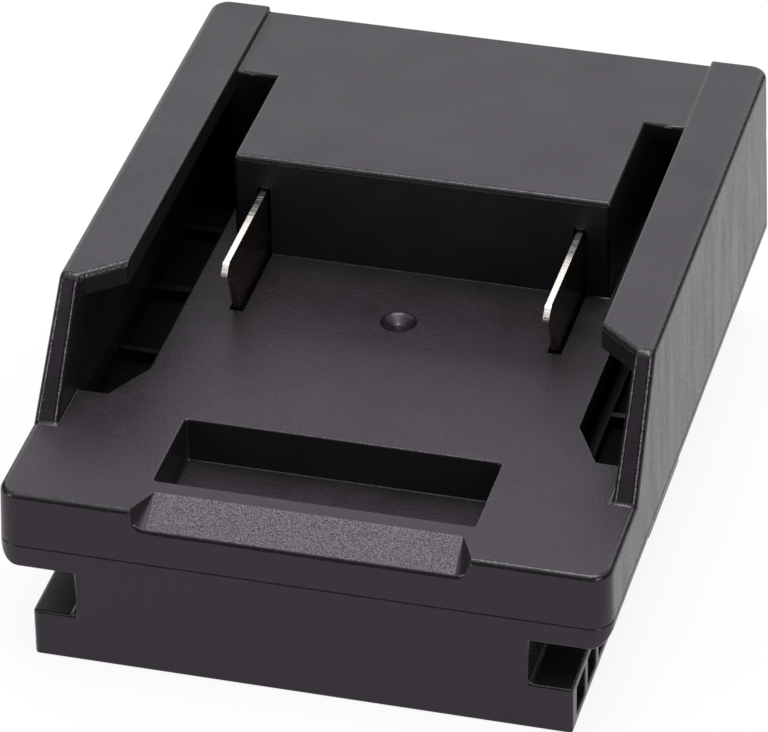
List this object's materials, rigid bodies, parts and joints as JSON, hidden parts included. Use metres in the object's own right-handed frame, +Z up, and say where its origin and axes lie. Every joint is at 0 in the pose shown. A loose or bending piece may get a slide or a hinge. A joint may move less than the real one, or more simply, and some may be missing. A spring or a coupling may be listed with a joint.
{
  "type": "tool battery adapter",
  "caption": "Slide-on tool battery adapter with lipped rails, terminal blades and a latch pocket on top, and a flanged slide foot with sprung side catches below.",
  "frame": {"origin": "centre of the foot's bottom face, under the middle of the overall box", "axes": "+X to the right seen from the finger scoop, +Y along the battery's way in towards the rear block, +Z up from the foot to the rails"},
  "size_m": [0.0764, 0.0968, 0.0383],
  "materials": {
    "housing_plastic": "moulded black glass-filled nylon with a fine spark-eroded grain",
    "inner_plastic": "moulded black nylon, smooth",
    "catch_plastic": "moulded black acetal, slightly glossy on the sliding faces",
    "nickel_plate": "stamped copper alloy with bright nickel plate",
    "copper_alloy": "stamped phosphor bronze",
    "screw_steel": "zinc-plated steel",
    "lead_red": "soft red insulation",
    "lead_black": "soft black insulation"
  },
  "bodies": {
    "housing": {"upper_housing": "housing_plastic", "lower_housing": "housing_plastic", "blade_holder": "inner_plastic", "blade_holder_screws": "screw_steel", "positive_blade": "nickel_plate", "negative_blade": "nickel_plate", "contact_holder": "inner_plastic", "contact_holder_screws": "screw_steel", "positive_fork": "copper_alloy", "negative_fork": "copper_alloy", "positive_lead": "lead_red", "negative_lead": "lead_black", "positive_blade_lug": "copper_alloy", "positive_fork_lug": "copper_alloy", "negative_blade_lug": "copper_alloy", "negative_fork_lug": "copper_alloy", "terminal_rivets": "screw_steel", "housing_screws": "screw_steel", "left_catch_spring": "screw_steel", "right_catch_spring": "screw_steel", "left_catch_cover": "inner_plastic", "right_catch_cover": "inner_plastic", "catch_cover_screws": "screw_steel"},
    "left_catch": {"left_catch": "catch_plastic"},
    "right_catch": {"right_catch": "catch_plastic"}
  },
  "joints": [
    {"name": "left_catch_press", "type": "slide", "parent": "housing", "child": "left_catch", "axis": [1, 0, 0], "range_m": [0, 0.0015], "stiffness_N_per_m": 1500, "deforming": ["left_catch_spring"]},
    {"name": "right_catch_press", "type": "slide", "parent": "housing", "child": "right_catch", "axis": [-1, 0, 0], "range_m": [0, 0.0015], "stiffness_N_per_m": 1500, "deforming": ["right_catch_spring"]}
  ]
}
